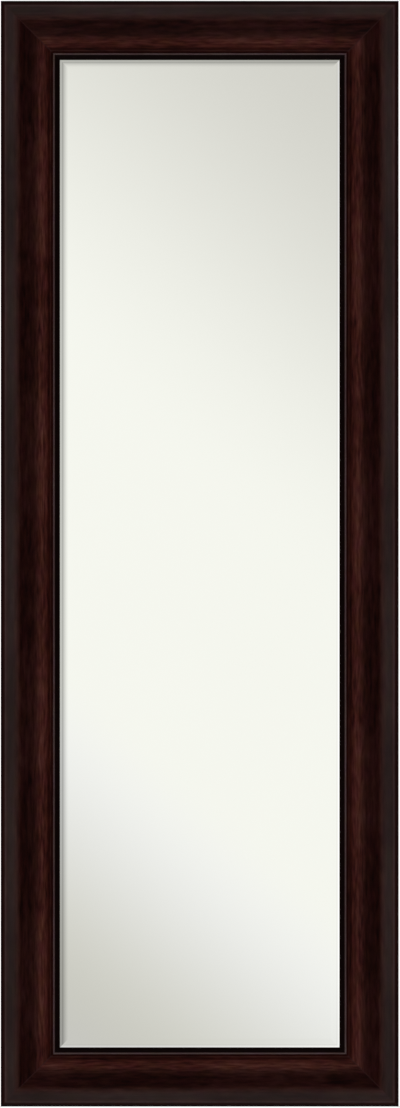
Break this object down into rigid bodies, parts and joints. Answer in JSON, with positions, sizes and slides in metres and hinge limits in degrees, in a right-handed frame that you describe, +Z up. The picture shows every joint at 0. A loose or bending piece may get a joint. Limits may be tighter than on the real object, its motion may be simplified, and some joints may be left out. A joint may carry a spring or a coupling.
{
  "type": "over the door mirror",
  "caption": "Full length mirror in a wide, dark, scooped frame, hung over the top edge of a door on slotted steel hangers that slide behind it to set its height.",
  "frame": {"origin": "on the centre line at the door's top front edge: level with the undersides of the felt on both hooks, in the plane of the door's front face", "axes": "+Z up, -Y the way the mirror faces, +X to the right of a viewer who faces the mirror"},
  "size_m": [0.485, 0.0824, 1.3486],
  "materials": {
    "dark_stained_wood": "very dark brown stain and lacquer, rubbed through to reddish brown in streaks along the grain, black along the sight edge; bare pale wood on the back",
    "silvered_glass": "silvered clear float glass with a narrow soft bevel",
    "filler_card": "plain grey-brown card",
    "hardboard": "brown hardboard, its mesh-marked side outwards",
    "bright_steel": "zinc plated steel",
    "brass": "plain brass",
    "rubber": "matt black rubber",
    "black_painted_steel": "satin black powder coat",
    "felt": "dark grey pressed felt"
  },
  "bodies": {
    "left_hanger": {"left_hanger_strap": "black_painted_steel", "left_top_pad": "felt", "left_door_pad": "felt", "left_rear_pad": "felt"},
    "mirror": {"top_rail": "dark_stained_wood", "bottom_rail": "dark_stained_wood", "left_stile": "dark_stained_wood", "right_stile": "dark_stained_wood", "mirror_glass": "silvered_glass", "filler_card": "filler_card", "backing_board": "hardboard", "retainer_points": "bright_steel", "corner_nails": "bright_steel", "clamp_inserts": "brass", "clamp_washers": "bright_steel", "clamp_screws": "bright_steel", "left_bumper": "rubber", "right_bumper": "rubber", "bumper_screws": "bright_steel"},
    "right_hanger": {"right_hanger_strap": "black_painted_steel", "right_top_pad": "felt", "right_door_pad": "felt", "right_rear_pad": "felt"}
  },
  "joints": [
    {"name": "mirror_height", "type": "slide", "parent": "left_hanger", "child": "mirror", "axis": [0, 0, -1], "range_m": [0, 0.15]},
    {"name": "right_hanger_slide", "type": "slide", "parent": "mirror", "child": "right_hanger", "axis": [0, 0, 1], "range_m": [0, 0.15]}
  ],
  "couplings": [
    {"joint": "right_hanger_slide", "follows": "mirror_height", "ratio": 1}
  ]
}
